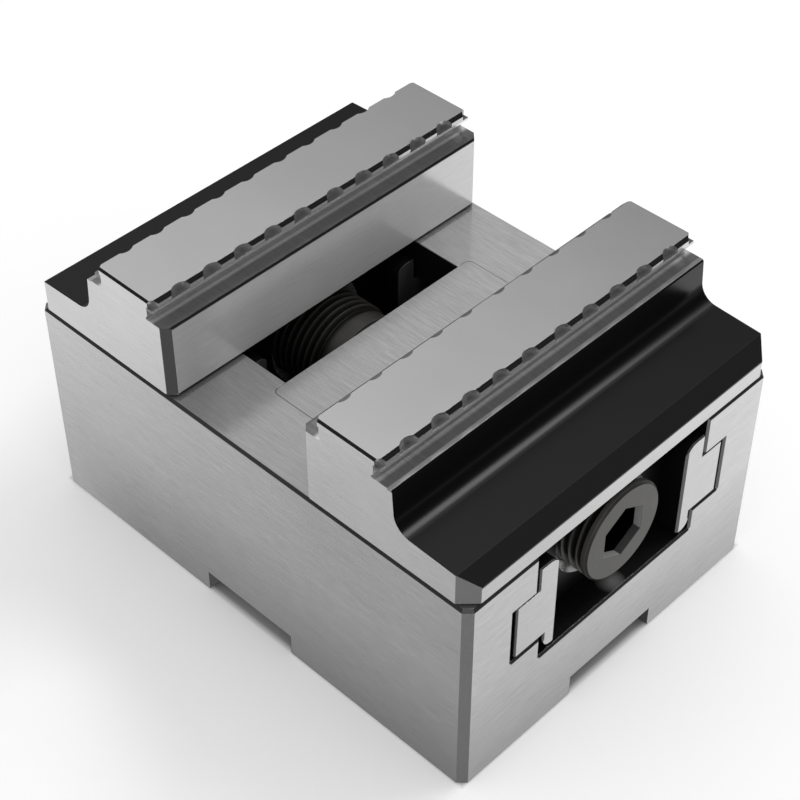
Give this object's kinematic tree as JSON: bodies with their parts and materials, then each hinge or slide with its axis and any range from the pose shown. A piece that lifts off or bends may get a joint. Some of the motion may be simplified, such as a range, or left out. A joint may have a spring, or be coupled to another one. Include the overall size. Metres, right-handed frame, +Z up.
{
  "type": "self-centering vise",
  "caption": "Self-centering machine vise: steel base with T-shaped guideway, stepped toothed jaws on slides, and an opposite-threaded lead screw with hex sockets.",
  "frame": {"origin": "bottom centre of the base", "axes": "+X along the lead screw to the front, +Y along the jaws, +Z up"},
  "size_m": [0.1024, 0.075, 0.0628],
  "materials": {
    "ground_steel": "surface ground, fine straight grain",
    "block_steel": "surface ground flush with the base",
    "screw_steel": "turned, slightly darkened",
    "slide_steel": "milled and ground",
    "jaw_steel": "hardened and ground, the scoop behind the top plate left black oxidised",
    "oxide_fasteners": "black oxide",
    "pin_steel": "ground"
  },
  "bodies": {
    "base": {"base_body": "ground_steel", "centre_block": "block_steel", "centre_screw_1": "oxide_fasteners", "centre_screw_2": "oxide_fasteners"},
    "screw": {"lead_screw": "screw_steel"},
    "front": {"front_slide": "slide_steel", "front_jaw": "jaw_steel", "front_jaw_screw_1": "oxide_fasteners", "front_jaw_screw_2": "oxide_fasteners", "front_jaw_screw_3": "oxide_fasteners", "front_jaw_screw_4": "oxide_fasteners", "front_dowel_1": "pin_steel", "front_dowel_2": "pin_steel"},
    "back": {"back_slide": "slide_steel", "back_jaw": "jaw_steel", "back_jaw_screw_1": "oxide_fasteners", "back_jaw_screw_2": "oxide_fasteners", "back_jaw_screw_3": "oxide_fasteners", "back_jaw_screw_4": "oxide_fasteners", "back_dowel_1": "pin_steel", "back_dowel_2": "pin_steel"}
  },
  "joints": [
    {"name": "screw_spin", "type": "hinge", "parent": "base", "child": "screw", "pos_m": [0, 0, 0.0327], "axis": [1, 0, 0], "range_deg": [-2280.1, 2160.1]},
    {"name": "front_travel", "type": "slide", "parent": "base", "child": "front", "axis": [1, 0, 0], "range_m": [-0.0095, 0.009]},
    {"name": "back_travel", "type": "slide", "parent": "base", "child": "back", "axis": [-1, 0, 0], "range_m": [-0.0095, 0.009]}
  ],
  "couplings": [
    {"joint": "screw_spin", "follows": "front_travel", "rad_per_m": 4188.8},
    {"joint": "back_travel", "follows": "front_travel", "ratio": 1}
  ]
}
